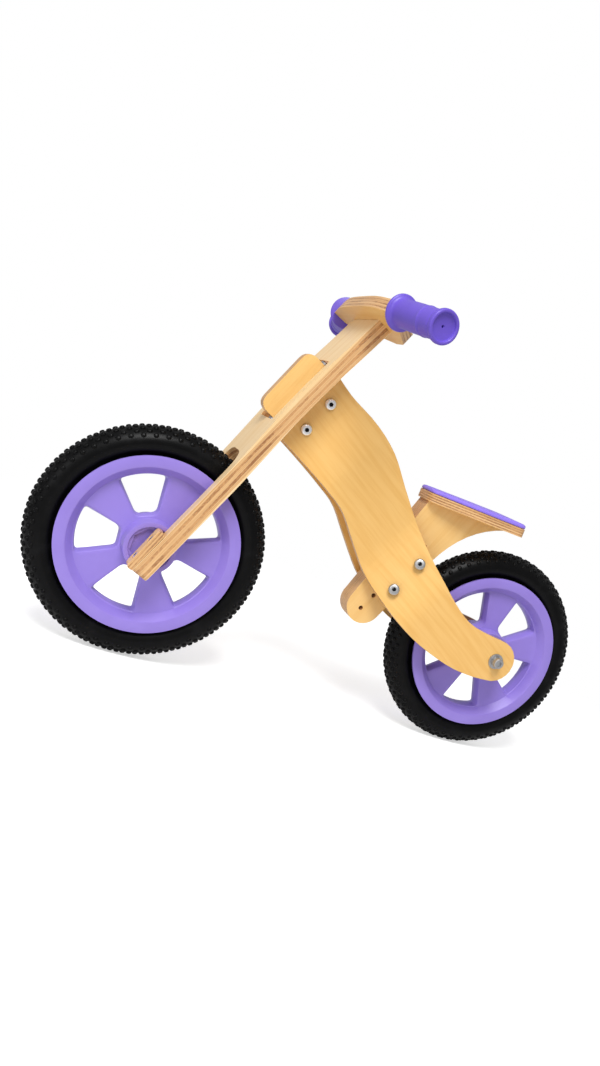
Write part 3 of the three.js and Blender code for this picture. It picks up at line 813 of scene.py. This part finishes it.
def build_fasteners(bright, grey):
    lean = math.atan(panel_slope(SEAT_BOLTS_ALONG))
    for index in (1, 2):
        through_bolt(f"knuckle_bolt_{index}", 1, 0.0, bright)
        through_bolt(f"knuckle_nut_{index}", -1, 0.0, bright)
        through_bolt(f"seat_bolt_{index}", 1, lean, grey)
        through_bolt(f"seat_nut_{index}", -1, lean, grey)
        for side in ("left", "right"):
            clamp_screw(f"clamp_screw_{index}_{side}", bright)


# ---- the other metal parts keep their CAD solids ----
STEEL = ("seat_sleeve", "rear_axle", "rear_spacer", "rear_washer", "rear_cap", "front_axle",
         "front_spacer", "pivot_", "bar_core")


def finish_metal(material):
    """Material, smooth shading and a bevel modifier. The solids' points and faces stay as packed."""
    for name, node in NODES.items():
        if name.startswith(STEEL) or "bearing" in name:
            paint(node, material)
            bevel(node, 0.35 * MM, 2, 30)
            smooth(node, 40)


# ---- set, light and camera ----
BACKDROP_LIGHT = 0.46
FLOOR_GLOW = 0.5
FLOOR_SOLID_TO = 0.5
FLOOR_GONE_AT = 1.1


def area_light(name, place, target, size, power):
    light = bpy.data.lights.new(name, "AREA")
    light.shape = "DISK"
    light.size = size
    light.energy = power
    lamp = bpy.data.objects.new(name, light)
    lamp.location = place
    lamp.rotation_euler = (Vector(target) - Vector(place)).to_track_quat("-Z", "Y").to_euler()
    bpy.context.scene.collection.objects.link(lamp)


def build_floor():
    bpy.ops.mesh.primitive_plane_add(size=24)
    floor = bpy.context.object
    floor.name = "studio_floor"
    n = Nodes("studio_floor_paint")
    tone = n.noise(object_coordinates(n), 1.5, 2.0)
    color = n.mix(n.math("MULTIPLY", tone, 0.1), (0.93, 0.93, 0.93, 1), (0.88, 0.88, 0.88, 1))
    seen = n.make("ShaderNodeLightPath").outputs["Is Camera Ray"]
    n.shader.inputs["Emission Color"].default_value = (1, 1, 1, 1)
    n.tree.links.new(n.math("MULTIPLY", seen, FLOOR_GLOW), n.shader.inputs["Emission Strength"])
    # The floor fades out into the white backdrop, so no far edge shows.
    place = n.make("ShaderNodeSeparateXYZ", Vector=object_coordinates(n))
    x, y = place.outputs["X"], place.outputs["Y"]
    distance = n.math("SQRT", n.math("ADD", n.math("MULTIPLY", x, x), n.math("MULTIPLY", y, y)))
    solid = n.math("SUBTRACT", 1.0, n.band(distance, FLOOR_SOLID_TO, FLOOR_GONE_AT))
    n.tree.links.new(solid, n.shader.inputs["Alpha"])
    paint(floor, n.finish(color, 0.9))


def build_light():
    world = bpy.data.worlds.new("studio")
    world.use_nodes = True
    tree = world.node_tree
    background = tree.nodes["Background"]
    background.inputs["Color"].default_value = (1.0, 1.0, 1.0, 1)
    # The backdrop is white paper in view, and lights the bike at BACKDROP_LIGHT of that.
    seen = tree.nodes.new("ShaderNodeLightPath").outputs["Is Camera Ray"]
    level = tree.nodes.new("ShaderNodeMapRange")
    level.inputs["To Min"].default_value = BACKDROP_LIGHT
    level.inputs["To Max"].default_value = 1.0
    tree.links.new(seen, level.inputs["Value"])
    tree.links.new(level.outputs["Result"], background.inputs["Strength"])
    bpy.context.scene.world = world
    area_light("key", (0.9, 1.9, 2.8), (0, 0, 0.25), 1.5, 84)
    area_light("side", (2.6, 1.6, 1.0), (0, 0, 0.2), 1.4, 13)


def build_camera():
    """The photograph's camera: low on the bike's left front and rolled to its right."""
    camera = bpy.data.objects.new("camera", bpy.data.cameras.new("camera"))
    right = Vector((-0.862141, 0.340575, 0.375129))
    down = Vector((-0.295301, 0.263873, -0.918242))
    ahead = Vector((-0.411717, -0.902430, -0.126924))
    turn = Matrix((right, -down, -ahead)).transposed().to_4x4()
    camera.matrix_world = Matrix.Translation((0.434455, 1.171472, 0.379342)) @ turn
    camera.data.sensor_fit = "HORIZONTAL"
    camera.data.sensor_width = 36
    camera.data.lens = 54.138
    camera.data.shift_x = -0.1752
    camera.data.shift_y = 0.0773
    camera.data.clip_end = 60
    bpy.context.scene.collection.objects.link(camera)
    bpy.context.scene.camera = camera


bpy.context.scene.view_settings.view_transform = "Standard"
build_camera()
build_light()
build_floor()
build_wood()
bright_zinc = zinc("bright_zinc", 1.0, 0.90)
grey_zinc = zinc("grey_zinc", 0.62, 0.40)
finish_metal(grey_zinc)
build_fasteners(bright_zinc, grey_zinc)
lilac = moulded("lilac_plastic", (0.31, 0.225, 0.70, 1), (0.27, 0.19, 0.63, 1), 0.34)
rubber = tyre_rubber()
build_wheel("front", FRONT_AXLE, FRONT_FIRST_WINDOW, lilac, rubber)
build_wheel("rear", REAR_AXLE, REAR_FIRST_WINDOW, lilac, rubber)
build_grips(moulded("violet_grip", (0.155, 0.092, 0.60, 1), (0.125, 0.072, 0.52, 1), 0.42))
build_pad(foam_skin())
